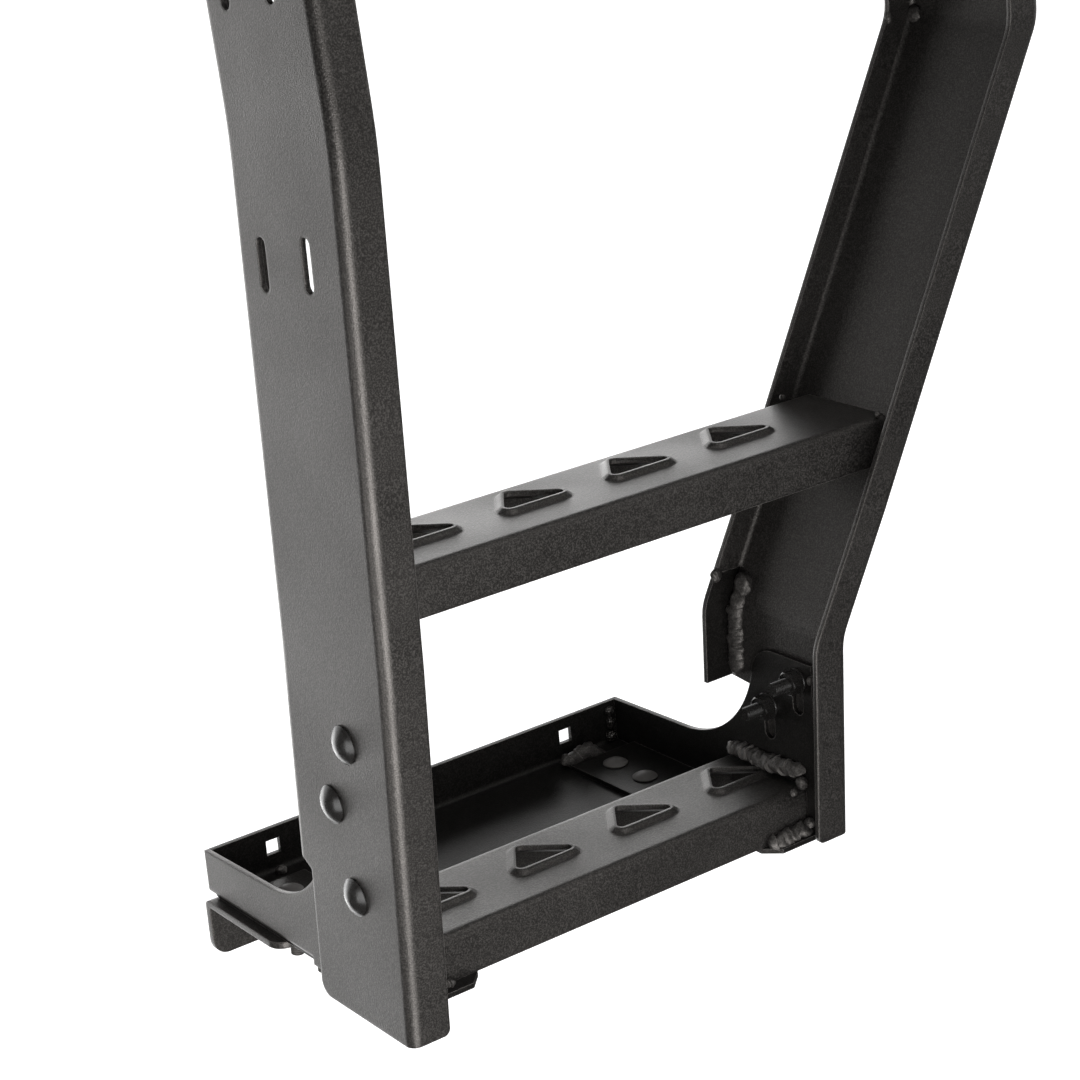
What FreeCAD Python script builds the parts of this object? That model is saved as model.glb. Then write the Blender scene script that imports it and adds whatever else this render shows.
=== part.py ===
import FreeCAD, Part
import os
from math import cos, degrees, radians, tan
from FreeCAD import Vector

# Vehicle ladder: two folded channel rails, four folded channel steps and a foot tray.
# Millimetres. X runs across, Y points to the vehicle, Z is up.
# The origin lies on the rear face of the tray's back wall, midway between its two bolt holes.

# Sheet
sheet = 3.0
bend_outside = 6.0

# Foot tray
tray_half_width = 151.5
tray_depth = 212.0
back_wall_top = 12.0
floor_underside = -18.0
wall_hole_spacing = 216.0
wall_hole_side = 9.2

# Rails
rail_depth = 99.8
front_flange = 24.0
rear_flange = 22.6
rail_top = 958.0
left_rail_bottom = -29.0
right_rail_bottom = -12.2
lower_knee = 179.0
upper_knee = 446.0
lower_lean = 2.64
middle_lean = 1.18
upper_lean = -6.28
jog_start = 110.0
jog_end = 433.0
jog_reach = 157.0
fold_radius = 30.0
knee_radius = 250.0
fold_spans = 3
fold_share = 0.45
corner_round = 8.0
flange_corner_round = 4.0

# Lower ends of the rails, behind the bolted plates
left_web_depth = 86.6
right_web_depth = 71.0
left_flange_end = 54.0
left_notch_rise = 8.0
right_notch_rise = 3.0
strip_below_fold = 49.0
strip_above_fold = 18.0

# Slot pairs in the webs
slot_length = 28.0
slot_width = 8.0
front_slot_inset = 34.0
rear_slot_inset = 75.5
slot_fall = 5.4
slot_first = 386.0
slot_pitch = 137.5
left_slot_pairs = 4
right_slot_pairs = 3

# Steps
step_depth = 69.9
step_height = 27.2
step_inset = 19.7
step_bend = 5.0
first_step_inset = 29.6
first_step_top = 9.1
second_step_top = 225.0
upper_step_pitch = 340.0
upper_steps = 3

# Grip holes: rounded triangles, drawn up round the edge
grip_width = 38.0
grip_reach = 24.0
grip_round = 3.0
grip_corner_facets = 4
grip_apex_share = 0.4
grip_front_inset = 31.4
grip_pitch = 71.8
grip_lower_centre = 18.5
grip_rim_height = 2.6
grip_rim_wall = 1.6
grip_foot_wall = 5.0
grip_flare = 3.2
lower_grips = 4
upper_grips = 6

# Side plates of the tray
plate_clear = 17.5
plate_rise = 2.2
plate_width = 50.5
arc_radius = 71.0
right_plate_top = 87.0
left_plate_top = 158.0
plate_round = 20.0
ledge_width = 53.0
ledge_rear_gap = 20.0
ledge_front_gap = 4.0

# Bolts between rails and plates, as (distance behind the rail's foot, height)
left_bolts = ((36.6, 133.1), (55.0, 94.0), (41.6, 45.1))
right_bolts = ((33.0, 75.0), (59.0, 52.0))
bolt_hole = 8.5
plate_slot_width = 9.0
plate_slot_length = 27.0
plate_slot_drop = 8.0

# Feet under the tray
foot_sheet = 4.0
foot_overhang = 3.5
foot_reach = 80.0
foot_drop = 32.0
foot_round = 10.0
foot_bolt_offset = 32.0
foot_bolt_rear = 38.0
foot_bolt_pitch = 29.0

# Shelf tabs under the first step's ends
left_tab_length = 60.0
right_tab_length = 40.0
tab_depth = 46.0
tab_corner = 9.0

# How far cutters run past what they cut, and what still counts as one place or one direction
past = 1.0
same_place = 0.01
same_way = 0.99

origin = Vector(0, 0, 0)
along_x = Vector(1, 0, 0)
along_y = Vector(0, 1, 0)
along_z = Vector(0, 0, 1)


def front_y(z):
    """Y of the rails' front face at height z."""
    y = -tray_depth - z * tan(radians(lower_lean))
    if z > lower_knee:
        y = front_y(lower_knee) - (z - lower_knee) * tan(radians(middle_lean))
    if z > upper_knee:
        y = front_y(upper_knee) - (z - upper_knee) * tan(radians(upper_lean))
    return y


def left_x(z):
    """X of the left web's outer face."""
    return -tray_half_width - sheet


def right_x(z):
    """X of the right web's outer face, which swings outward between the two folds."""
    share = min(max((z - jog_start) / (jog_end - jog_start), 0.0), 1.0)
    return tray_half_width + sheet + share * jog_reach


def block(x0, x1, y0, y1, z0, z1):
    return Part.makeBox(x1 - x0, y1 - y0, z1 - z0, Vector(x0, y0, z0))


def arc_about(centre, start, end):
    """Arc about a centre, the short way from start to end."""
    middle = centre + ((start - centre) + (end - centre)).normalize() * (start - centre).Length
    return Part.Arc(start, middle, end).toShape()


def face_of(edges):
    return Part.Face(Part.Wire(Part.sortEdges(edges)[0]))


def bend_edges(y, outside, way):
    """Both arcs of a bend whose flange lies at y and whose web lies at x = 0."""
    centre = Vector(outside, y + way * outside, 0)
    arcs = []
    for radius in (outside, outside - sheet):
        arcs.append(arc_about(centre, centre - along_x * radius, centre - along_y * way * radius))
    return arcs


def flange_edges(y, outside, width, way):
    """Both faces and the free edge of a flange."""
    inner = y + way * sheet
    return [Part.makeLine(Vector(outside, y, 0), Vector(width, y, 0)),
            Part.makeLine(Vector(width, y, 0), Vector(width, inner, 0)),
            Part.makeLine(Vector(width, inner, 0), Vector(outside, inner, 0))]


def folded_section(front, rear, depth, outside):
    """Level section: web along Y at x = 0, flanges along +X. With no rear flange the web ends flat."""
    edges = bend_edges(0, outside, 1) + flange_edges(0, outside, front, 1)
    web_end = depth - outside
    if rear:
        edges += bend_edges(depth, outside, -1) + flange_edges(depth, outside, rear, -1)
    else:
        web_end = depth
        edges.append(Part.makeLine(Vector(0, depth, 0), Vector(sheet, depth, 0)))
    for x in (0, sheet):
        edges.append(Part.makeLine(Vector(x, outside, 0), Vector(x, web_end, 0)))
    return face_of(edges)


def folded_path(corners, radii):
    """Points of a path through the corners, with short spans along an arc at each fold that has a radius."""
    points = [corners[0]]
    for before, corner, after, radius in zip(corners, corners[1:], corners[2:], radii):
        if not radius:
            points.append(corner)
            continue
        arrive = (corner - before).normalize()
        leave = (after - corner).normalize()
        half_turn = arrive.getAngle(leave) / 2
        shorter = min((corner - before).Length, (after - corner).Length)
        reach = min(radius * tan(half_turn), fold_share * shorter)
        rise = reach / tan(half_turn) * (1 / cos(half_turn) - 1)
        middle = corner + (leave - arrive).normalize() * rise
        arc = Part.Arc(corner - arrive * reach, middle, corner + leave * reach).toShape()
        points += arc.discretize(fold_spans + 1)
    return points + [corners[-1]]


def swept(section, path):
    """Pushes a level section along the path without turning it."""
    spans = [section.translated(start).extrude(end - start) for start, end in zip(path, path[1:])]
    return spans[0].multiFuse(spans[1:]).removeSplitter()


def rail_path(web_x, levels):
    """Path of a rail's front outer corner through the given levels."""
    corners = [Vector(web_x(z), front_y(z), z) for z in levels]
    bends = {jog_start: fold_radius, jog_end: fold_radius, upper_knee: knee_radius}
    return folded_path(corners, [bends.get(z, 0) for z in levels[1:-1]])


def facing_left(section):
    """Turns a section so that its flanges run along -X."""
    return section.mirror(origin, along_x)


def slot_cutter(y, z, x0, x1, length, width):
    """Upright slot with round ends, cut along X."""
    half = (length - width) / 2
    ends = [Part.makeCylinder(width / 2, x1 - x0, Vector(x0, y, end), along_x) for end in (z - half, z + half)]
    return block(x0, x1, y - width / 2, y + width / 2, z - half, z + half).multiFuse(ends).removeSplitter()


def web_slots(rail, web_x, first_pair, last_pair):
    """Pairs of slots up the web."""
    for pair in range(first_pair, last_pair):
        z = slot_first + pair * slot_pitch
        x = web_x(z)
        for inset, drop in ((front_slot_inset, 0.0), (rear_slot_inset, slot_fall)):
            cutter = slot_cutter(front_y(z) + inset, z - drop, x - 2 * sheet, x + 2 * sheet,
                                 slot_length, slot_width)
            rail = rail.cut(cutter)
    return rail


def bolt_bores(rail, web_x, bolts):
    for inset, z in bolts:
        start = Vector(web_x(z) - 2 * sheet, -tray_depth + inset, z)
        rail = rail.cut(Part.makeCylinder(bolt_hole / 2, 4 * sheet, start, along_x))
    return rail


def trim_rail_foot(rail, web_x, side, bottom, web_depth, top, rise):
    """Takes the web's rear margin away below a slanted notch and rounds the lower corners."""
    low = top - rise
    under = bottom - past
    behind = front_y(under) + rail_depth + past
    start = web_x(bottom) + side * past
    outline = [Vector(start, front_y(under) + web_depth, under), Vector(start, front_y(low) + web_depth, low),
               Vector(start, front_y(top) + rail_depth, top), Vector(start, behind, top),
               Vector(start, behind, under)]
    rail = rail.cut(outline_face(outline).extrude(along_x * -side * (rear_flange + 2 * past)))
    rear = front_y(bottom) + web_depth
    free = web_x(bottom) - side * front_flange

    def near_foot(edge, axis, value):
        middle = edge.CenterOfMass
        return abs(middle.z - bottom) < same_place and abs(getattr(middle, axis) - value) < same_place
    rail = rail.makeFillet(corner_round, [e for e in rail.Edges if near_foot(e, "y", rear)])
    return rail.makeFillet(flange_corner_round, [e for e in rail.Edges if near_foot(e, "x", free)])


def make_left_rail():
    section = folded_section(front_flange, rear_flange, rail_depth, bend_outside)
    rail = swept(section, rail_path(left_x, [left_rail_bottom, lower_knee, upper_knee, rail_top]))
    rail = web_slots(rail, left_x, 0, left_slot_pairs)
    rail = bolt_bores(rail, left_x, left_bolts)
    return trim_rail_foot(rail, left_x, -1, left_rail_bottom, left_web_depth, left_flange_end,
                          left_notch_rise)


def make_right_rail():
    """Below the first fold the right rail has no rear flange of its own: a strip stands in its place."""
    strip_top = jog_start + strip_above_fold
    angle = facing_left(folded_section(front_flange, 0, rail_depth - sheet, bend_outside))
    lower = swept(angle, rail_path(right_x, [right_rail_bottom, jog_start, strip_top]))
    channel = facing_left(folded_section(front_flange, rear_flange, rail_depth, bend_outside))
    levels = sorted((strip_top, lower_knee, jog_end, upper_knee, rail_top))
    rail = lower.fuse(swept(channel, rail_path(right_x, levels))).removeSplitter()
    rail = web_slots(rail, right_x, left_slot_pairs - right_slot_pairs, left_slot_pairs)
    rail = bolt_bores(rail, right_x, right_bolts)
    return trim_rail_foot(rail, right_x, 1, right_rail_bottom, right_web_depth,
                          jog_start - strip_below_fold, right_notch_rise)


def make_right_strip():
    """Bent strip welded across the web's rear edge at the first fold."""
    section = Part.makePlane(rear_flange, sheet, Vector(-rear_flange, rail_depth - sheet, 0))
    levels = [jog_start - strip_below_fold, jog_start, jog_start + strip_above_fold]
    return swept(section, rail_path(right_x, levels))


def grip_outline(radius, x, y, z):
    """Closed outline round three corner circles: base to the front, apex to the rear."""
    reach = grip_reach - 2 * grip_round
    width = grip_width - 2 * grip_round
    centres = [Vector(x - width / 2, y, z), Vector(x + width / 2, y, z),
               Vector(x - width / 2 + width * grip_apex_share, y + reach, z)]
    normals = []
    for a, b in zip(centres, centres[1:] + centres[:1]):
        run = b - a
        normals.append(Vector(run.y, -run.x, 0).normalize())
    points = []
    for i, centre in enumerate(centres):
        turn = degrees(normals[i - 1].getAngle(normals[i]))
        for facet in range(grip_corner_facets + 1):
            spin = FreeCAD.Rotation(along_z, turn * facet / grip_corner_facets)
            points.append(centre + spin.multVec(normals[i - 1]) * radius)
    return points


def outline_face(points):
    return Part.Face(Part.makePolygon(points + points[:1]))


def tapered(low, high):
    """Closed solid between two level outlines with as many corners each."""
    faces = [outline_face(low), outline_face(high)]
    for i in range(len(low)):
        faces.append(outline_face([low[i - 1], low[i], high[i], high[i - 1]]))
    return Part.Solid(Part.Shell(faces))


def add_grips(step, front, top, centre, count):
    """Draws the sheet up round each hole, with the underside flared to match."""
    for i in range(count):
        x = centre + (i - (count - 1) / 2) * grip_pitch
        y = front + grip_front_inset + grip_round
        skirt = grip_outline(grip_round + grip_foot_wall, x, y, top)
        crest = grip_outline(grip_round + grip_rim_wall, x, y, top + grip_rim_height)
        step = step.fuse(tapered(skirt, crest))
        hole = outline_face(grip_outline(grip_round, x, y, top - sheet)).extrude(
            Vector(0, 0, sheet + 2 * grip_rim_height))
        mouth = grip_outline(grip_round + grip_flare, x, y, top - sheet)
        throat = grip_outline(grip_round, x, y, top - sheet + grip_rim_height)
        step = step.cut(hole).cut(tapered(mouth, throat))
    return step.removeSplitter()


def make_step(front, top, centre, count, x_left, x_right_at):
    """Folded channel, open below, with its right end cut to the web it meets."""
    section = folded_section(step_height, step_height, step_depth, step_bend)
    section = section.rotate(origin, along_y, 90)
    step = section.extrude(along_x * (x_right_at(top) - x_left))
    step.translate(Vector(x_left, front, top))
    step = add_grips(step, front, top, centre, count)
    below = top - step_height - past
    above = top + grip_rim_height + past
    end = [Vector(x_right_at(below), front, below), Vector(x_right_at(above), front, above)]
    end += [Vector(end[1].x + step_height, front, above), Vector(end[1].x + step_height, front, below)]
    return step.cut(outline_face(end).extrude(along_y * step_depth))


def right_web_inner(z):
    return right_x(z) - sheet


def plate_inner(z):
    return tray_half_width - sheet


def first_step_front():
    return -tray_depth + first_step_inset


def make_steps():
    """The first step lies between the tray's plates, the others between the rails."""
    web_left = left_x(0) + sheet
    steps = {"step_1": make_step(first_step_front(), first_step_top, grip_lower_centre, lower_grips,
                                 -plate_inner(0), plate_inner)}
    tops = [second_step_top + rung * upper_step_pitch for rung in range(upper_steps)]
    for number, top in enumerate(tops, start=2):
        wide = top > jog_end
        centre = (web_left + right_web_inner(top)) / 2 if wide else grip_lower_centre
        count = upper_grips if wide else lower_grips
        steps["step_%d" % number] = make_step(front_y(top) + step_inset, top, centre, count,
                                              web_left, right_web_inner)
    return steps


def make_tray():
    """Back wall and floor from one sheet, bent along the bottom."""
    half = tray_half_width - sheet
    front = first_step_front() + step_depth
    bottom = floor_underside
    centre = Vector(0, -bend_outside, bottom + bend_outside)
    inside = bend_outside - sheet
    edges = [arc_about(centre, centre - along_z * radius, centre + along_y * radius)
             for radius in (bend_outside, inside)]
    for z in (bottom, bottom + sheet):
        edges.append(Part.makeLine(Vector(0, front, z), Vector(0, -bend_outside, z)))
    for y in (0, -sheet):
        edges.append(Part.makeLine(Vector(0, y, bottom + bend_outside), Vector(0, y, back_wall_top)))
    edges.append(Part.makeLine(Vector(0, front, bottom), Vector(0, front, bottom + sheet)))
    edges.append(Part.makeLine(Vector(0, 0, back_wall_top), Vector(0, -sheet, back_wall_top)))
    tray = face_of(edges).extrude(Vector(2 * half, 0, 0))
    tray.translate(Vector(-half, 0, 0))
    side = wall_hole_side
    for x in (-wall_hole_spacing / 2, wall_hole_spacing / 2):
        tray = tray.cut(block(x - side / 2, x + side / 2, -sheet - past, past, -side / 2, side / 2))
    return tray.cut(foot_bolt_bores(bottom - past, bottom + sheet + past))


def foot_bolt_places():
    x = tray_half_width - foot_bolt_offset
    return [(side * x, -foot_bolt_rear - row * foot_bolt_pitch) for side in (-1, 1) for row in (0, 1)]


def foot_bolt_bores(z0, z1):
    bores = [Part.makeCylinder(bolt_hole / 2, z1 - z0, Vector(x, y, z0)) for x, y in foot_bolt_places()]
    return bores[0].multiFuse(bores[1:])


def plate_front():
    return -tray_depth + sheet + plate_clear


def shelf_level():
    """Height of the first step's lower edges, where the shelf tabs lie."""
    return first_step_top - step_height


def plate_face(top):
    """Side plate in the YZ plane, with the hollow sweep up behind the rail."""
    front = plate_front()
    floor_front = first_step_front() + step_depth
    bottom = floor_underside + sheet
    sill = back_wall_top + plate_rise
    centre = Vector(0, front + plate_width + arc_radius, sill + arc_radius)
    shoulder = top - plate_round
    drop = max(centre.z - shoulder, 0.0)
    arc_start = Vector(0, centre.y, sill)
    arc_end = Vector(0, centre.y - (arc_radius ** 2 - drop ** 2) ** 0.5, min(centre.z, shoulder))
    corner = Vector(0, arc_end.y - plate_round, shoulder)
    edges = [arc_about(centre, arc_start, arc_end),
             arc_about(corner, corner + along_y * plate_round, corner + along_z * plate_round)]
    if shoulder > arc_end.z:
        edges.append(Part.makeLine(arc_end, corner + along_y * plate_round))
    outline = [corner + along_z * plate_round, Vector(0, front, top), Vector(0, front, shelf_level()),
               Vector(0, floor_front, shelf_level()), Vector(0, floor_front, bottom),
               Vector(0, 0, bottom), Vector(0, 0, back_wall_top), arc_start]
    edges += [Part.makeLine(a, b) for a, b in zip(outline, outline[1:])]
    return face_of(edges)


def make_plate(side, top, bolts):
    """Side plate with a ledge bent inward over the floor."""
    plate = plate_face(top).extrude(along_x * sheet)
    plate.translate(Vector(-tray_half_width, 0, 0))
    step_rear = first_step_front() + step_depth
    bottom = floor_underside + sheet
    ledge = block(-tray_half_width, -tray_half_width + ledge_width, step_rear + ledge_front_gap,
                  -ledge_rear_gap, bottom, bottom + sheet)
    plate = plate.fuse(ledge).removeSplitter()

    def heel(edge):
        middle = edge.CenterOfMass
        return abs(middle.x + tray_half_width) < same_place and abs(middle.z - bottom) < same_place
    plate = plate.makeFillet(sheet, [e for e in plate.Edges if heel(e)])
    for inset, z in bolts:
        plate = plate.cut(slot_cutter(-tray_depth + inset, z - plate_slot_drop, -tray_half_width - past,
                                      -tray_half_width + sheet + past, plate_slot_length, plate_slot_width))
    plate = plate.cut(foot_bolt_bores(bottom - past, bottom + sheet + past))
    return plate.mirror(origin, along_x) if side > 0 else plate


def edge_runs(edge, way):
    return abs(edge.tangentAt(edge.FirstParameter).dot(way)) > same_way


def make_foot(side):
    """Angle under the tray: a flat leg below the floor and a leg that hangs down at the back."""
    outer = tray_half_width + foot_overhang
    inner = tray_half_width - ledge_width
    top = floor_underside
    flat = block(-outer, -inner, -foot_reach, 0, top - foot_sheet, top)
    hang = block(-outer, -inner, -foot_sheet, 0, top - foot_sheet - foot_drop, top)
    foot = flat.fuse(hang).removeSplitter()

    def hanging_corner(edge):
        return edge_runs(edge, along_y) and edge.CenterOfMass.z < top - foot_drop

    def front_corner(edge):
        return edge_runs(edge, along_z) and edge.CenterOfMass.y < -foot_reach + sheet

    def back_bend(edge):
        middle = edge.CenterOfMass
        return edge_runs(edge, along_x) and abs(middle.y) < same_place and abs(middle.z - top) < same_place
    for radius, wanted in ((foot_round, hanging_corner), (foot_round, front_corner), (foot_sheet, back_bend)):
        foot = foot.makeFillet(radius, [e for e in foot.Edges if wanted(e)])
    foot = foot.cut(foot_bolt_bores(top - foot_sheet - past, top + past))
    return foot.mirror(origin, along_x) if side > 0 else foot


def make_tab(side, length):
    """Shelf that carries one end of the first step, with its inner front corner cut off."""
    inner = tray_half_width - length
    front = plate_front()
    level = shelf_level() - sheet
    outline = [Vector(inner, front + tab_corner, level), Vector(inner + tab_corner, front, level),
               Vector(tray_half_width, front, level), Vector(tray_half_width, front + tab_depth, level),
               Vector(inner, front + tab_depth, level)]
    tab = outline_face(outline).extrude(along_z * sheet)
    return tab if side > 0 else tab.mirror(origin, along_x)


parts = {
    "left_rail": make_left_rail(),
    "right_rail": make_right_rail(),
    "right_rear_strip": make_right_strip(),
    "foot_tray": make_tray(),
    "left_side_plate": make_plate(-1, left_plate_top, left_bolts),
    "right_side_plate": make_plate(1, right_plate_top, right_bolts),
    "left_foot": make_foot(-1),
    "right_foot": make_foot(1),
    "left_step_tab": make_tab(-1, left_tab_length),
    "right_step_tab": make_tab(1, right_tab_length),
}
parts.update(make_steps())

os.makedirs("parts", exist_ok=True)
for name, shape in parts.items():
    shape.exportStep("parts/%s.step" % name)
    print(name, "valid", shape.isValid(), "solids", len(shape.Solids), "volume", round(shape.Volume))
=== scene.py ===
# %% [markdown]
# # A folded steel vehicle ladder
# The ladder is bent from 3 mm sheet, welded, bolted and powder coated black. The CAD solids
# already have the exact shape of every folded sheet, so they are loaded as a fixed frame and
# not drawn again here. Blender adds what a drawing office leaves out: the bolts with their
# threads, the weld beads, the grainy coat, the light and the camera.

# %% Load the frame
import math
import random

import bmesh
import bpy
from mathutils import Matrix, Vector, noise


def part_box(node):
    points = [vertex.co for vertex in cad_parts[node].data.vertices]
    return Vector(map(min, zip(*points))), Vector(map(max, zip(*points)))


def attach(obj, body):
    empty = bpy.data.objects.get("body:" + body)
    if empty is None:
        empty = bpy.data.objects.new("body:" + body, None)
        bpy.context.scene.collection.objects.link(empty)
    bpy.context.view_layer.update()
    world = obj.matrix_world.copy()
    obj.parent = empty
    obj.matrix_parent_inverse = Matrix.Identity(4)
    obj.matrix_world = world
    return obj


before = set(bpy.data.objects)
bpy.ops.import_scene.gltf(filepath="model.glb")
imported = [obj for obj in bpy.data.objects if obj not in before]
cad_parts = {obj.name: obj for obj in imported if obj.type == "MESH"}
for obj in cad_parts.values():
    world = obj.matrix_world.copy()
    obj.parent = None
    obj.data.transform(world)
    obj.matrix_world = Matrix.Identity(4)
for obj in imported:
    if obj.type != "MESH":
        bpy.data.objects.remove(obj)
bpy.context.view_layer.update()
MM = 0.001
print("nodes:", sorted(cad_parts))

# %% [markdown]
# ## Where things are
# A bolt sits where its hole is, so the places are those of the CAD holes. They are given as
# millimetres in the ladder's own frame: X across, Y towards the vehicle, Z up. The faces
# that the bolts clamp are worked out from the frame's boxes and the sheets' thickness, so
# that they can't drift away from the solids.

# %% Faces and bolt places
SHEET = 3.0
FOOT_SHEET = 4.0
plate_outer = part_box("left_side_plate")[0].x / MM
web_outer = plate_outer - SHEET
plate_inner = plate_outer + SHEET
tray_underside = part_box("foot_tray")[0].z / MM
ledge_top = tray_underside + 2 * SHEET
foot_underside = tray_underside - FOOT_SHEET
left_bolt_places = [(-175.4, 133.1), (-157.0, 94.0), (-170.4, 45.1)]
right_bolt_places = [(-179.0, 75.0), (-153.0, 52.0)]
foot_bolt_places = [(-119.5, -38.0), (-119.5, -67.0), (119.5, -38.0), (119.5, -67.0)]
print("left web's outer face at x = %.2f mm, plate's inner face at %.2f" % (web_outer, plate_inner))
print("ledge top at z = %.2f mm, feet's flange ends at %.2f" % (ledge_top, foot_underside))

# %% [markdown]
# ## Small helpers for shader nodes
# A finish on the real ladder is built up in layers, and in Blender each layer is a few
# linked nodes. They could be typed out one by one for each material, but three helpers
# make the recipes below read like recipes: one adds a node with its settings, one makes
# noise of a true size, and one spreads noise over the values that a layer needs.

# %% Node helpers
def add_node(tree, kind, **settings):
    """One shader node; settings name its properties, or else its inputs."""
    made = tree.nodes.new(kind)
    for name, value in settings.items():
        if hasattr(made, name):
            setattr(made, name, value)
        else:
            made.inputs[name.replace("_", " ")].default_value = value
    return made


def grain(tree, coordinates, per_metre, detail=2.0):
    """Noise with that many lumps to the metre."""
    lumps = add_node(tree, "ShaderNodeTexNoise", Scale=per_metre, Detail=detail)
    tree.links.new(coordinates, lumps.inputs["Vector"])
    return lumps.outputs["Fac"]


def spread(tree, value, low, high, start=0.35, end=0.65):
    """Turns values between start and end, as noise mostly gives, into low to high."""
    ranged = add_node(tree, "ShaderNodeMapRange",
                      From_Min=start, From_Max=end, To_Min=low, To_Max=high)
    tree.links.new(value, ranged.inputs["Value"])
    return ranged.outputs["Result"]


# %% [markdown]
# ## The black powder coat
# Powder coat is sprayed as a dry dust and baked, so it is never quite flat: a fine grain
# catches the light as tiny sparks, and broad clouds of slightly different gloss drift over
# the sheet. A thin lighter line along every cut edge is a painted highlight, as where an
# edge catches the light. A painted image would show one fixed pattern, so noise in Object
# coordinates is used instead: it has true scale on every piece and runs on from one piece
# to the next. One Bevel node rounds the light over bends and edges without a change to the
# mesh. A second, narrower one is compared with the true face direction, and so finds the
# sharp edges that get the painted highlight.

# %% Numbers of the coat, lengths in millimetres and noise in lumps to the metre
WARM = (1.0, 0.94, 0.89)
CLOUDS = 14.0
GRAINS, GRAIN_FLECKS = 1150.0, (0.42, 0.70)
PEEL, PEEL_HEIGHT = 220.0, 0.035
BEND_SAMPLES = 4
# The grey that sharp edges are mixed towards is a painted highlight.
EDGE_HIGHLIGHT_GREY, EDGE_WIDTH, EDGE_SAMPLES, EDGE_COSINES = 0.16, 0.55, 3, (0.84, 0.96)


def warm_grey(level):
    """The coat's slightly warm grey at that brightness."""
    return (*(level * part for part in WARM), 1.0)


def sharp_edges(tree):
    """1 along sharp edges, where the colour is lightened as a painted highlight, and 0 elsewhere.
    """
    rounded = add_node(tree, "ShaderNodeBevel", samples=EDGE_SAMPLES, Radius=EDGE_WIDTH * MM)
    compare = add_node(tree, "ShaderNodeVectorMath", operation="DOT_PRODUCT")
    tree.links.new(rounded.outputs["Normal"], compare.inputs[0])
    tree.links.new(tree.nodes.new("ShaderNodeNewGeometry").outputs["Normal"], compare.inputs[1])
    return spread(tree, compare.outputs["Value"], 1.0, 0.0, *EDGE_COSINES)


print("grains are about %.1f mm wide" % (1000 / GRAINS))

# %% Powder coat
def new_surface(name):
    """A new material with its node tree and its shader."""
    material = bpy.data.materials.new(name)
    material.use_nodes = True
    return material, material.node_tree, material.node_tree.nodes["Principled BSDF"]


def powder_coat(name, grain_height, noise_shift, bend_round,
                tones=(0.005, 0.040), gloss=(0.38, 0.46), shine=0.5):
    """Satin black coat; grain_height and bend_round, how far light rounds a bend, are in mm."""
    material, tree, surface = new_surface(name)
    own_place = tree.nodes.new("ShaderNodeTexCoord").outputs["Object"]
    shifted = add_node(tree, "ShaderNodeMapping", Location=(noise_shift, noise_shift, 0.0))
    tree.links.new(own_place, shifted.inputs["Vector"])
    place = shifted.outputs["Vector"]
    clouds = grain(tree, place, CLOUDS, 3.0)
    tree.links.new(spread(tree, clouds, *gloss), surface.inputs["Roughness"])
    surface.inputs["Specular Tint"].default_value = warm_grey(1.0)
    surface.inputs["Specular IOR Level"].default_value = shine
    tone = add_node(tree, "ShaderNodeMix", data_type="RGBA")
    for socket, level in zip("AB", tones):
        tone.inputs[socket].default_value = warm_grey(level)
    flecks = spread(tree, grain(tree, place, GRAINS), 0.0, 1.0, *GRAIN_FLECKS)
    tree.links.new(flecks, tone.inputs["Factor"])
    # Painted highlight: sharp edges are mixed towards a lighter grey, as where they catch the
    # light.
    edge_highlighted = add_node(tree, "ShaderNodeMix", data_type="RGBA")
    edge_highlighted.inputs["B"].default_value = warm_grey(EDGE_HIGHLIGHT_GREY)
    tree.links.new(tone.outputs["Result"], edge_highlighted.inputs["A"])
    tree.links.new(sharp_edges(tree), edge_highlighted.inputs["Factor"])
    tree.links.new(edge_highlighted.outputs["Result"], surface.inputs["Base Color"])
    bends = add_node(tree, "ShaderNodeBevel", samples=BEND_SAMPLES, Radius=bend_round * MM)
    normal = bends.outputs["Normal"]
    for per_metre, height in ((GRAINS, grain_height), (PEEL, PEEL_HEIGHT)):
        relief = add_node(tree, "ShaderNodeBump", Strength=1.0, Distance=height * MM)
        tree.links.new(grain(tree, place, per_metre, 1.0), relief.inputs["Height"])
        tree.links.new(normal, relief.inputs["Normal"])
        normal = relief.outputs["Normal"]
    tree.links.new(normal, surface.inputs["Normal"])
    return material


# %% [markdown]
# ## Coat the sheets
# The rails, feet and outer plate stand in the open, and the treads are a little coarser and
# have the softest bends. The tray with its inner plates gets a darker, less shiny copy of
# the coat, which is painted shade for its shaded inside. One material could serve for all,
# but three close ones keep such differences.

# %% Coats of the CAD sheets
rail_coat = powder_coat("powder_coat_rails", 0.12, 0.0, 1.9, (0.006, 0.050))
tread_coat = powder_coat("powder_coat_treads", 0.14, 3.7, 2.8, (0.005, 0.048))
# Painted shade: the tray's copy of the coat has a darker tone and a weaker shine.
tray_painted_shade_coat = powder_coat("powder_coat_tray_painted_shade", 0.10, 7.1, 1.0, (0.003, 0.018), shine=0.22)
in_the_open = ("left_rail", "right_rail", "left_side_plate", "left_foot", "right_foot")
for node_name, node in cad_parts.items():
    if node_name in in_the_open:
        coat = rail_coat
    else:
        coat = tread_coat if node_name.startswith("step") else tray_painted_shade_coat
    node.data.materials.clear()
    node.data.materials.append(coat)
    print(node_name, "has", coat.name)

# %% [markdown]
# ## Finish of the bolts
# The bolts, nuts and washers are blackened hardware, smoother and shinier than the sheet,
# so they show small round highlights. The bolts of the feet lie in the tray; they are
# rougher, and their lighter grey tone is painted light on domes lit from above. One plain
# recipe does for both: a base tone, low roughness with a little variation, and a very
# faint unevenness.

# %% Hardware finish
POLISH, DENTS, DENT_HEIGHT, DENT_STRENGTH = 400.0, 350.0, 0.02, 0.6


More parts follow.
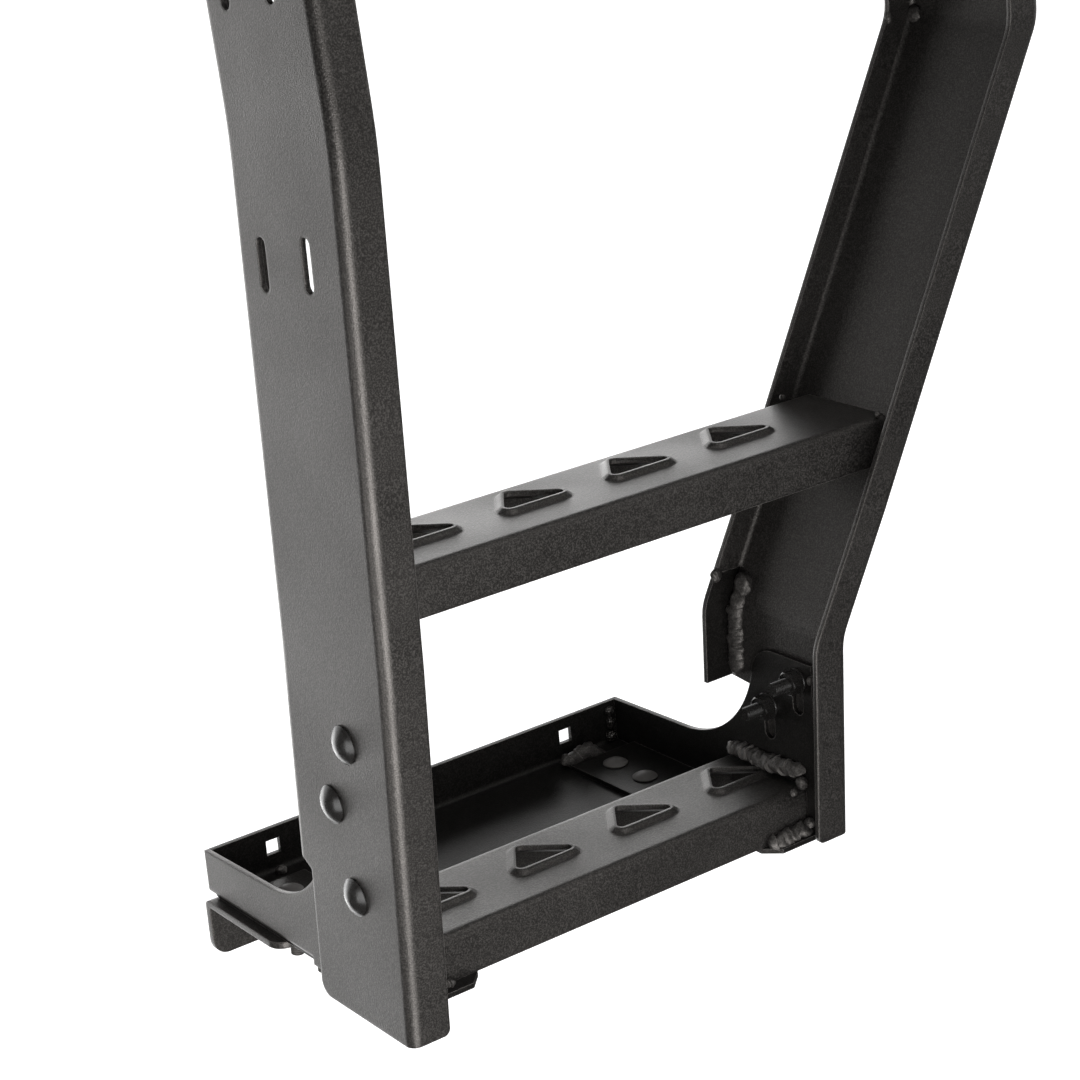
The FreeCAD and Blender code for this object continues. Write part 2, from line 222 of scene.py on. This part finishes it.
def hardware_finish(name, tone, gloss):
    """Blackened steel of that base tone and range of roughness."""
    material, tree, surface = new_surface(name)
    surface.inputs["Base Color"].default_value = warm_grey(tone)
    place = tree.nodes.new("ShaderNodeTexCoord").outputs["Object"]
    polish = grain(tree, place, POLISH)
    tree.links.new(spread(tree, polish, *gloss), surface.inputs["Roughness"])
    dents = add_node(tree, "ShaderNodeBump", Strength=DENT_STRENGTH, Distance=DENT_HEIGHT * MM)
    tree.links.new(grain(tree, place, DENTS, 3.0), dents.inputs["Height"])
    tree.links.new(dents.outputs["Normal"], surface.inputs["Normal"])
    return material


bolt_black = hardware_finish("bolt_black", 0.016, (0.22, 0.32))
# Painted light: the foot bolts' grey tone stands in for light falling on their domes from above.
foot_bolt_grey = hardware_finish("foot_bolt_grey", 0.11, (0.45, 0.58))
print("hardware finishes:", bolt_black.name, foot_bolt_grey.name)

# %% [markdown]
# ## From bmesh to a finished piece
# Every new piece ends the same way: doubles merged, faces turned outward, smooth shading
# that stays crisp over real edges, a material, and a ride on the ladder's one body. The
# place is in the mesh and the object stays at the origin, as the CAD pieces do. The shapes
# are drawn in millimetres, because the drawings are, and made metres at the end.

# %% Finish a piece
DOUBLES = 0.001


def finish_piece(name, bm, material, crisp_over=35.0):
    """Makes a bmesh in millimetres a piece of the ladder; crisp_over is in degrees."""
    bmesh.ops.remove_doubles(bm, verts=bm.verts, dist=DOUBLES)
    bmesh.ops.recalc_face_normals(bm, faces=bm.faces)
    bmesh.ops.scale(bm, vec=(MM, MM, MM), verts=bm.verts)
    mesh = bpy.data.meshes.new(name)
    bm.to_mesh(mesh)
    bm.free()
    mesh.shade_smooth()
    mesh.set_sharp_from_angle(angle=math.radians(crisp_over))
    mesh.materials.append(material)
    piece = bpy.data.objects.new(name, mesh)
    bpy.context.scene.collection.objects.link(piece)
    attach(piece, "root")


def joined(parts):
    """Puts several bmeshes into the first one."""
    whole = parts[0]
    for part in parts[1:]:
        scratch = bpy.data.meshes.new("scratch")
        part.to_mesh(scratch)
        whole.from_mesh(scratch)
        part.free()
        bpy.data.meshes.remove(scratch)
    return whole


def stand(bm, foot, direction):
    """Moves a shape built upward from the origin to its foot, pointing along direction."""
    turn = Vector((0, 0, 1)).rotation_difference(Vector(direction)).to_matrix().to_4x4()
    bmesh.ops.transform(bm, matrix=Matrix.Translation(Vector(foot)) @ turn, verts=bm.verts)
    return bm


# %% [markdown]
# ## Turned shapes
# Bolt heads and washers are turned on a lathe, so they are spun here too. An outline is
# drawn from one vertex by pulling it on from point to point, and is then spun round Z. A
# cylinder with moved rings could give the same, but an outline reads like the drawing.

# %% Turned shapes
AROUND = 32
SEAM_DOUBLES = 0.0005


def spin_round(bm):
    """Spins the outline in a bmesh once round Z and closes the seam and the poles."""
    bmesh.ops.spin(bm, geom=bm.verts[:] + bm.edges[:], cent=(0, 0, 0), axis=(0, 0, 1),
                   angle=math.tau, steps=AROUND, use_merge=True)
    bmesh.ops.remove_doubles(bm, verts=bm.verts, dist=SEAM_DOUBLES)
    return bm


def pull(bm, vert, x, z):
    """Pulls the outline on from its last vertex to a new place."""
    made = bmesh.ops.extrude_vert_indiv(bm, verts=[vert])["verts"][0]
    made.co = (x, 0, z)
    return made


def outline(points):
    """A bmesh with one line through those points of the XZ plane."""
    bm = bmesh.new()
    last = bm.verts.new((points[0][0], 0, points[0][1]))
    for x, z in points[1:]:
        last = pull(bm, last, x, z)
    return bm


# %% [markdown]
# ## Head and neck of a carriage bolt
# A carriage bolt has a low domed head without a slot, and a square neck that sits in a
# square hole, so that it can't turn or be undone from outside. One vertex is spun into the
# dome's arc, the rim and the flat underside are pulled from its end, and the whole outline
# is spun round. The neck is a cube whose upright edges are bevelled.

# %% Domed head and square neck
SIDE_HEAD = (10.5, 4.9)
FOOT_HEAD = (7.8, 3.6)
HEAD_RIM, RIM_EASE, DOME_STEPS = 0.9, 0.3, 9
NECK_WIDTH, NECK_EASE = 8.0, 0.8


def domed_head(radius, height):
    """Head whose flat underside lies at z = 0, with the dome above."""
    rise = height - HEAD_RIM
    ball = (radius ** 2 + rise ** 2) / (2 * rise)
    bm = bmesh.new()
    top = bm.verts.new((0, 0, height))
    arc = bmesh.ops.spin(bm, geom=[top], cent=(0, 0, height - ball), axis=(0, 1, 0),
                         angle=math.asin(radius / ball), steps=DOME_STEPS)["geom_last"]
    edge = [v for v in arc if isinstance(v, bmesh.types.BMVert)][0]
    for x, z in ((radius, RIM_EASE), (radius - RIM_EASE, 0.0), (0.0, 0.0)):
        edge = pull(bm, edge, x, z)
    return spin_round(bm)


def square_neck(length):
    """Square neck under the head, its corners eased."""
    bm = bmesh.new()
    bmesh.ops.create_cube(bm, size=1.0)
    bmesh.ops.scale(bm, vec=(NECK_WIDTH, NECK_WIDTH, length), verts=bm.verts)
    bmesh.ops.translate(bm, vec=(0, 0, -length / 2), verts=bm.verts)
    upright = [e for e in bm.edges
               if abs(e.verts[0].co.z - e.verts[1].co.z) > length / 2]
    bmesh.ops.bevel(bm, geom=upright, offset=NECK_EASE, segments=2, profile=0.5,
                    affect="EDGES", material=-1)
    return bm


# %% [markdown]
# ## Threads
# The thread is rolled as one long helix. A stack of rings would look alike from afar but
# has no run to it, so a real helix is made: one pitch of its zigzag is spun and lowered by
# a pitch each turn. It is made too long, and a plane cuts each end square, as a saw does.

# %% Threads
SHANK_RADIUS, THREAD_ROOT, PITCH = 4.0, 3.35, 1.25
CREST = SHANK_RADIUS - 0.06
ZIGZAG = ((CREST, 0.5), (CREST, 0.66), (THREAD_ROOT, 1.13), (THREAD_ROOT, PITCH))
SPARE_TURNS = 3
TURN_DOUBLES = 0.01
NECK_SHORT, THREAD_REACH = 0.4, 0.6


def cut_off(bm, place, outward):
    """Cuts away all that lies past place towards outward, and closes the cut."""
    cut = bmesh.ops.bisect_plane(bm, geom=bm.verts[:] + bm.edges[:] + bm.faces[:],
                                 plane_co=place, plane_no=outward, clear_outer=True)
    rim = [e for e in cut["geom_cut"] if isinstance(e, bmesh.types.BMEdge)]
    if rim:
        bmesh.ops.edgeloop_fill(bm, edges=rim)


def thread(start, end):
    """Threaded rod from z = start down to z = end, with both ends cut square and closed."""
    turns = int((start - end) / PITCH) + SPARE_TURNS
    bm = bmesh.new()
    last = bm.verts.new((THREAD_ROOT, 0, start + PITCH))
    for x, drop in ZIGZAG:
        last = pull(bm, last, x, start + PITCH - drop)
    bmesh.ops.spin(bm, geom=bm.verts[:] + bm.edges[:], cent=(0, 0, 0), axis=(0, 0, 1),
                   dvec=(0, 0, -PITCH / AROUND), angle=math.tau * turns, steps=AROUND * turns)
    bmesh.ops.remove_doubles(bm, verts=bm.verts, dist=TURN_DOUBLES)
    cut_off(bm, (0, 0, start), (0, 0, 1))
    cut_off(bm, (0, 0, end), (0, 0, -1))
    return bm


def carriage_bolt(name, seat, direction, length, grip, head, finish):
    """Bolt whose head rests at seat and points along direction; grip is what it clamps."""
    shank = thread(THREAD_REACH - grip, -length)
    parts = [domed_head(*head), square_neck(grip - NECK_SHORT), shank]
    finish_piece(name, stand(joined(parts), seat, direction), finish, 30.0)


# %% [markdown]
# ## Washers and nuts
# A washer is a flat ring with eased edges, turned like the bolt. A nut starts as a
# six-sided prism. Its corners are turned off on a lathe, which leaves the curved marks on
# its flats, so here a ring of slanted planes cuts them off one by one. The bore is inset
# from the top and pushed in.

# %% Washer
WASHER_OUTER, WASHER_INNER, WASHER_THICK, WASHER_EASE = 8.0, 4.25, 1.6, 0.25


def washer_shape():
    """Flat ring with eased edges that lies on z = 0."""
    inside, outside = WASHER_INNER, WASHER_OUTER
    thick, ease = WASHER_THICK, WASHER_EASE
    return spin_round(outline([
        (inside, 0), (outside - ease, 0), (outside, ease), (outside, thick - ease),
        (outside - ease, thick), (inside + ease, thick), (inside, thick - ease), (inside, 0)]))


# %% Nut
NUT_FLATS, NUT_HEIGHT = 13.0, 6.5
NUT_SLANT, NUT_CORNER_CUT = 0.55, 0.1
BORE_RADIUS, BORE_EASE, BORE_DEPTH = 4.5, 0.8, 0.9


def nut_shape(foot):
    """Six-sided nut that stands on z = foot."""
    bm = bmesh.new()
    corner = NUT_FLATS / 2 / math.cos(math.pi / 6)
    cone_radius = NUT_FLATS / 2 - NUT_CORNER_CUT
    bmesh.ops.create_cone(bm, cap_ends=True, segments=6, radius1=corner, radius2=corner,
                          depth=NUT_HEIGHT)
    bmesh.ops.translate(bm, vec=(0, 0, foot + NUT_HEIGHT / 2), verts=bm.verts)
    for end, level in ((1, foot + NUT_HEIGHT), (-1, foot)):
        for step in range(AROUND):
            turn = Matrix.Rotation(math.tau * (step + 0.5) / AROUND, 3, "Z")
            on_cone = turn @ Vector((cone_radius, 0, 0)) + Vector((0, 0, level))
            cut_off(bm, on_cone, turn @ Vector((NUT_SLANT, 0, end)).normalized())
    bmesh.ops.dissolve_limit(bm, angle_limit=0.01, verts=bm.verts, edges=bm.edges)
    top = max(bm.faces, key=lambda f: f.calc_center_median().z)
    bmesh.ops.inset_region(bm, faces=[top], thickness=cone_radius - BORE_RADIUS)
    bmesh.ops.inset_region(bm, faces=[top], thickness=BORE_EASE, depth=-BORE_DEPTH)
    return bm


def clamp(name, seat, direction):
    """Washer and nut that press on seat, pointing along direction."""
    finish_piece(name + "_washer", stand(washer_shape(), seat, direction), bolt_black)
    finish_piece(name + "_nut", stand(nut_shape(WASHER_THICK), seat, direction), bolt_black, 20.0)


# %% [markdown]
# ## Bolt the rails to the tray
# The heads sit outside on the webs and the nuts inside on the plates, so a passer-by meets
# only smooth domes. The left rail has three bolts, the right rail two. One loop serves both
# sides, because the right side is the left one mirrored.

# %% Side bolts
SIDE_BOLT_LENGTH = 25.0
for side, word, places in ((-1, "left", left_bolt_places), (1, "right", right_bolt_places)):
    outside, inside = side * abs(web_outer), side * abs(plate_inner)
    for number, (y, z) in enumerate(places, start=1):
        name = "%s_bolt_%d" % (word, number)
        carriage_bolt(name, (outside, y, z), (side, 0, 0),
                      SIDE_BOLT_LENGTH, 2 * SHEET, SIDE_HEAD, bolt_black)
        clamp(name, (inside, y, z), (-side, 0, 0))
print("side bolts:", len(left_bolt_places) + len(right_bolt_places))

# %% [markdown]
# ## Bolt the feet to the tray
# Each foot hangs on two smaller-headed bolts that pass down through the ledge, the floor
# and the foot's own flange, with their ends left long below.

# %% Foot bolts
FOOT_BOLT_LENGTH = 40.0
for number, (x, y) in enumerate(foot_bolt_places, start=1):
    name = "foot_bolt_%d" % number
    carriage_bolt(name, (x, y, ledge_top), (0, 0, 1), FOOT_BOLT_LENGTH,
                  ledge_top - foot_underside, FOOT_HEAD, foot_bolt_grey)
    clamp(name, (x, y, foot_underside), (0, 0, -1))
print("foot bolts:", len(foot_bolt_places))

# %% [markdown]
# ## Weld metal
# Welds are coated with everything else, but they are rougher, and the coat lies thinner and
# paler on them. Drips froze smooth, so they shine more. The surface of weld metal is lumpy
# in itself. A bump map would leave the outline smooth, so the points are moved along their
# normals by smooth noise.

# %% Coats of the welds, and lumps
weld_coat = powder_coat("powder_coat_welds", 0.08, 11.3, 0.3, (0.020, 0.070), (0.46, 0.56))
drip_coat = powder_coat("powder_coat_drips", 0.02, 13.9, 0.3, gloss=(0.14, 0.22))


def lump(bm, height, width, seed):
    """Moves points along their normals by smooth noise of that height and width in mm."""
    bm.normal_update()
    for v in bm.verts:
        v.co += v.normal * noise.noise(v.co / width + Vector((seed, 0, 0))) * height


print("weld coats:", weld_coat.name, drip_coat.name)

# %% [markdown]
# ## Weld beads
# A bead is a row of frozen puddles, each laid over the last with a crease between. It could
# be a curve with a round profile, but that has no creases. So a ring is extruded in short
# steps along the seam, swelling through each puddle and dropping back at the next. It sinks
# into both sheets, so that only the bulging half shows. The seeded random source keeps
# every run of the script alike.

# %% Bead along a seam
BEAD_SIDES = 16
RINGS_PER_PUDDLE = 6
PUDDLE_START, PUDDLE_SWELL = 0.9, 0.2
END_SIZE = 0.4
PUDDLE_LEAN = 0.5
BEAD_LUMPS = (1.3, 3.2)


def point_along(points, lengths, way):
    """The place that far along the runs between points, and the run's direction there."""
    run = 0
    while run < len(lengths) - 1 and way > lengths[run]:
        way -= lengths[run]
        run += 1
    along = (points[run + 1] - points[run]).normalized()
    return points[run] + along * way, along


def bead(name, seam, half_width, height, outward, puddle, seed, rough):
    """Bead along straight runs between the seam's points; outward is where it bulges to."""
    chance = random.Random(seed)
    points = [Vector(p) for p in seam]
    lengths = [(b - a).length for a, b in zip(points, points[1:])]
    rings = max(RINGS_PER_PUDDLE, int(sum(lengths) / puddle * RINGS_PER_PUDDLE))
    bm = bmesh.new()
    ring = bmesh.ops.create_circle(bm, cap_ends=True, radius=1.0, segments=BEAD_SIDES)["verts"]
    placed = Matrix.Identity(4)
    for step in range(rings + 1):
        centre, along = point_along(points, lengths, step / rings * sum(lengths))
        up = (Vector(outward) - along * along.dot(Vector(outward))).normalized()
        side = along.cross(up)
        phase = (step % RINGS_PER_PUDDLE) / RINGS_PER_PUDDLE
        if phase == 0.0:
            drift = chance.uniform(-rough, rough)
            size = chance.uniform(-rough, rough)
        swell = PUDDLE_START + size + PUDDLE_SWELL * math.sqrt(phase)
        from_end = math.sqrt(min(step, rings - step) / RINGS_PER_PUDDLE)
        swell *= min(1.0, END_SIZE + (1.0 - END_SIZE) * from_end)
        centre += side * drift * half_width
        lean = up * height * swell - along * PUDDLE_LEAN * height
        axes = Matrix((side * half_width * swell, lean, along)).transposed().to_4x4()
        target = Matrix.Translation(centre) @ axes
        if step:
            edges = {e for v in ring for e in v.link_edges if e.other_vert(v) in ring}
            made = bmesh.ops.extrude_edge_only(bm, edges=list(edges))["geom"]
            ring = [v for v in made if isinstance(v, bmesh.types.BMVert)]
        bmesh.ops.transform(bm, matrix=target @ placed.inverted(), verts=ring)
        placed = target
    bmesh.ops.contextual_create(bm, geom=ring)
    bmesh.ops.recalc_face_normals(bm, faces=bm.faces)
    lump(bm, *BEAD_LUMPS, seed)
    finish_piece(name, bm, weld_coat, 50.0)


# %% [markdown]
# ## Seams of the right rail and the tray
# Where the right rail's channel is folded outward, its rear flange is cut, and the short
# strip below is welded along the web. The right ledge is welded at its rear edge, and the
# first step's ends to the plate and to the tabs under them. The places are read from the
# photograph and set on the sheets that carry them.

# %% Seams: name, points, half width, height, outward, puddle length, seed, unevenness
seams = [
    ("strip_bead",
     [(150.6, -123.4, 64.5), (150.6, -125.0, 92.0), (150.8, -126.4, 109.0), (154.2, -128.0, 117.0)],
     5.2, 3.2, (-1, -0.4, 0), 6.0, 11, 0.07),
    ("step_plate_bead",
     [(145.8, -119.0, 16.4), (145.6, -132.0, 16.6), (145.6, -147.0, 16.4),
      (145.8, -163.0, 17.2), (146.2, -182.0, 19.4)],
     4.8, 3.7, (-1, 0, 0.9), 4.8, 16, 0.12),
    ("right_ledge_bead",
     [(97.0, -15.4, -12.6), (106.0, -14.2, -11.8), (117.0, -14.2, -11.4), (126.0, -16.4, -12.0)],
     5.6, 6.2, (0, -0.3, 1), 6.4, 12, 0.16),
    ("right_shelf_bead",
     [(117.0, -184.6, -17.2), (128.0, -185.4, -15.8), (138.0, -185.6, -15.6),
      (147.6, -186.2, -16.2)],
     5.4, 4.8, (0, -1, 0.5), 5.2, 17, 0.16),
    ("left_shelf_bead",
     [(-109.0, -183.8, -17.4), (-122.0, -184.0, -17.0), (-146.0, -183.8, -17.2)],
     3.4, 3.2, (0, -1, 0.6), 4.6, 18, 0.18),
]
for seam in seams:
    bead(*seam)
print("beads:", ", ".join(seam[0] for seam in seams))

# %% [markdown]
# ## Tacks and drips
# Small tacks of weld close the fold lines and the ends of the beads, and in the tray's
# right corner metal ran down the wall in drips. Each is a ball that is made lumpy, flattened
# and sunk into the sheets.

# %% Tacks and drips: name, centre, half sizes, seed
BALL_LUMPS = (0.16, 0.5)


def blob(name, centre, half_sizes, seed, coat):
    """Tack or drip of weld metal."""
    bm = bmesh.new()
    bmesh.ops.create_icosphere(bm, subdivisions=4, radius=1.0)
    lump(bm, *BALL_LUMPS, seed)
    bmesh.ops.scale(bm, vec=half_sizes, verts=bm.verts)
    bmesh.ops.translate(bm, vec=centre, verts=bm.verts)
    finish_piece(name, bm, coat, 60.0)


drips = [
    ("corner_drip_top", (142.9, -4.6, 6.4), (3.9, 3.4, 3.4), 31),
    ("corner_drip_middle", (142.6, -4.8, -1.6), (3.0, 3.0, 4.6), 32),
    ("corner_drip_foot", (142.2, -5.0, -10.8), (4.0, 3.6, 3.8), 33),
]
tacks = [
    ("strip_top_tack", (155.6, -128.4, 119.0), (5.6, 6.2, 8.0), 21),
    ("strip_edge_tack", (141.4, -120.6, 127.2), (3.6, 2.6, 4.2), 22),
    ("step_1_front_tack", (139.4, -181.6, 8.0), (2.6, 2.0, 2.4), 23),
    ("step_1_plate_tack", (146.4, -181.0, 11.6), (3.6, 3.6, 4.2), 24),
    ("plate_front_tack", (148.2, -190.6, 78.0), (2.2, 1.8, 2.8), 25),
    ("shelf_tack", (146.4, -185.6, -12.6), (3.4, 3.4, 3.4), 26),
    ("left_floor_tack", (-108.0, -9.0, -13.4), (3.6, 3.2, 3.4), 27),
    ("jog_web_tack", (306.6, -131.2, 430.6), (2.8, 5.2, 5.2), 28),
    ("jog_edge_tack", (289.6, -127.6, 431.0), (2.4, 2.4, 3.6), 29),
    ("step_2_rear_tack", (190.0, -131.8, 226.6), (1.8, 1.6, 1.8), 30),
    ("step_2_front_tack", (200.4, -200.2, 226.8), (1.7, 1.6, 1.7), 34),
]
for drip in drips:
    blob(*drip, drip_coat)
for tack in tacks:
    blob(*tack, weld_coat)
print("drips:", len(drips), "tacks:", len(tacks))

# %% [markdown]
# ## Light
# Black satin sheet shows little of its own colour: what we see is the studio mirrored in
# it. A studio could be built from many lamps, but soft panels painted on the world are
# simpler and give no hard edges. Each panel is a round patch of sky. Its strength comes
# from the angle between the ray and the panel's direction, and fades to nothing at its own
# half width. Big panels stand behind, where the left web and the treads mirror them, weaker
# ones in front, a narrow bright one makes the line along the rails' bend, and one lights
# the right side. The camera doesn't see the panels: its rays find plain white.

# %% Studio panels: direction, strength, half width in degrees
ROOM_LIGHT = 0.06
FULL_PART = 1 / 4
panels = [
    ((-0.17, 0.95, -0.27), 3.5, 27),
    ((-0.38, 0.91, 0.14), 1.5, 27),
    ((0.40, 0.90, 0.17), 4.2, 27),
    ((0.03, 0.74, -0.67), 3.0, 27),
    ((0.03, -0.39, 0.92), 4.5, 27),
    ((-0.18, -0.82, -0.55), 4.6, 27),
    ((-0.05, -0.99, -0.14), 1.6, 27),
    ((0.21, -0.94, 0.27), 0.7, 27),
    ((-0.45, -0.83, -0.33), 15.0, 17),
    ((0.88, 0.46, 0.08), 1.0, 27),
    ((0.97, -0.12, 0.22), 3.2, 27),
]


def panel_light(sky, direction, towards, strength, half_width):
    """Strength of one panel as a ray in that direction finds it."""
    angle = add_node(sky, "ShaderNodeVectorMath", operation="DOT_PRODUCT")
    angle.inputs[1].default_value = Vector(towards).normalized()
    sky.links.new(direction, angle.inputs[0])
    patch = add_node(sky, "ShaderNodeMapRange", interpolation_type="SMOOTHSTEP",
                     From_Min=math.cos(math.radians(half_width)),
                     From_Max=math.cos(math.radians(half_width * FULL_PART)),
                     To_Min=0.0, To_Max=strength)
    sky.links.new(angle.outputs["Value"], patch.inputs["Value"])
    return patch.outputs["Result"]


print("panels:", len(panels))

# %% World
world = bpy.data.worlds.new("studio")
bpy.context.scene.world = world
world.use_nodes = True
sky = world.node_tree
sky.nodes.clear()
ray = sky.nodes.new("ShaderNodeTexCoord").outputs["Generated"]
light = add_node(sky, "ShaderNodeValue").outputs["Value"]
light.default_value = ROOM_LIGHT
for towards, strength, half_width in panels:
    total = add_node(sky, "ShaderNodeMath", operation="ADD")
    sky.links.new(light, total.inputs[0])
    sky.links.new(panel_light(sky, ray, towards, strength, half_width), total.inputs[1])
    light = total.outputs["Value"]
seen = sky.nodes.new("ShaderNodeLightPath").outputs["Is Camera Ray"]
white_if_seen = add_node(sky, "ShaderNodeMix", data_type="FLOAT")
sky.links.new(seen, white_if_seen.inputs["Factor"])
sky.links.new(light, white_if_seen.inputs["A"])
white_if_seen.inputs["B"].default_value = 1.0
background = add_node(sky, "ShaderNodeBackground", Color=(1.0, 1.0, 1.0, 1.0))
sky.links.new(white_if_seen.outputs["Result"], background.inputs["Strength"])
output = sky.nodes.new("ShaderNodeOutputWorld")
sky.links.new(background.outputs["Background"], output.inputs["Surface"])
print("world nodes:", len(sky.nodes))

# %% [markdown]
# ## Two soft lamps
# The panels are endlessly far away, so they light near and far sheets alike. On the
# photograph the left rail and the left end of the tray are lighter than the right rail, as
# they stand nearer to the studio's softboxes. Two small near lamps give that fall-off.

# %% Soft lamps
SOFTBOX_SIZE = 0.4


def soft_lamp(name, place, target, watts):
    """Square softbox at place that shines at target."""
    lamp = bpy.data.lights.new(name, "AREA")
    lamp.shape = "SQUARE"
    lamp.size = SOFTBOX_SIZE
    lamp.energy = watts
    shown = bpy.data.objects.new(name, lamp)
    bpy.context.scene.collection.objects.link(shown)
    shown.location = place
    shown.rotation_euler = (Vector(target) - Vector(place)).to_track_quat("-Z", "Y").to_euler()
    print(name, "gives", watts, "W")


soft_lamp("left_softbox", (-0.70, -0.30, 0.02), (-0.1, -0.15, 0.05), 1.8)
soft_lamp("front_softbox", (-0.30, -0.70, 0.05), (-0.1, -0.2, 0.15), 2.4)

# %% [markdown]
# ## Floor
# The ladder hangs on a vehicle, so the pale floor lies well below it. It is a matt
# off-white sheet that keeps the ladder's shadow; a little of its own light makes it plain
# white to the camera. The sheet metal doesn't mirror it, because the panels stand for the
# whole studio.

# %% Floor
FLOOR_LEVEL, FLOOR_HALF_SIZE = -0.55, 30.0
FLOOR_WHITE, FLOOR_GLOW = 0.8, 0.72
floor_mesh = bpy.data.meshes.new("floor")
floor_shape = bmesh.new()
bmesh.ops.create_grid(floor_shape, x_segments=1, y_segments=1, size=FLOOR_HALF_SIZE)
bmesh.ops.translate(floor_shape, vec=(0, 0, FLOOR_LEVEL), verts=floor_shape.verts)
floor_shape.to_mesh(floor_mesh)
floor_shape.free()
floor = bpy.data.objects.new("floor", floor_mesh)
bpy.context.scene.collection.objects.link(floor)
floor.visible_diffuse = False
floor.visible_glossy = False
paper, paper_tree, paper_surface = new_surface("floor_paper")
paper_surface.inputs["Base Color"].default_value = (FLOOR_WHITE, FLOOR_WHITE, FLOOR_WHITE, 1.0)
paper_surface.inputs["Roughness"].default_value = 1.0
paper_surface.inputs["Specular IOR Level"].default_value = 0.0
paper_surface.inputs["Emission Color"].default_value = (1.0, 1.0, 1.0, 1.0)
path = paper_tree.nodes.new("ShaderNodeLightPath")
glow = add_node(paper_tree, "ShaderNodeMath", operation="MULTIPLY")
paper_tree.links.new(path.outputs["Is Camera Ray"], glow.inputs[0])
glow.inputs[1].default_value = FLOOR_GLOW
paper_tree.links.new(glow.outputs["Value"], paper_surface.inputs["Emission Strength"])
floor_mesh.materials.append(paper)
print("floor at z =", FLOOR_LEVEL, "m")

# %% [markdown]
# ## Camera
# The photograph was taken from the ladder's front left, a little above the tray, with the
# camera tipped slightly clockwise. It could be matched by eye, but its place, its three
# directions and its lens were solved from edges of known length, and a small shift gives
# the photograph's cropped frame.

# %% Camera
CAMERA_PLACE = (-0.78938, -1.25166, 0.67369)
CAMERA_RIGHT = Vector((0.805515, -0.586471, -0.084838))
CAMERA_DOWN = Vector((-0.249215, -0.205387, -0.946418))
CAMERA_FORWARD = Vector((0.537622, 0.783497, -0.311600))
camera_data = bpy.data.cameras.new("camera")
camera = bpy.data.objects.new("camera", camera_data)
bpy.context.scene.collection.objects.link(camera)
bpy.context.scene.camera = camera
camera_axes = Matrix((CAMERA_RIGHT, -CAMERA_DOWN, -CAMERA_FORWARD)).transposed()
camera.matrix_world = Matrix.Translation(CAMERA_PLACE) @ camera_axes.to_4x4()
camera_data.sensor_width = 36.0
camera_data.lens = 88.610
camera_data.shift_x = 0.04697
camera_data.shift_y = -0.05096
camera_data.clip_end = 100.0
print("camera at", CAMERA_PLACE, "with a lens of", camera_data.lens, "mm")

# %% [markdown]
# Colours are shown as they are written, so the plain Standard view is used.

bpy.context.scene.view_settings.view_transform = "Standard"
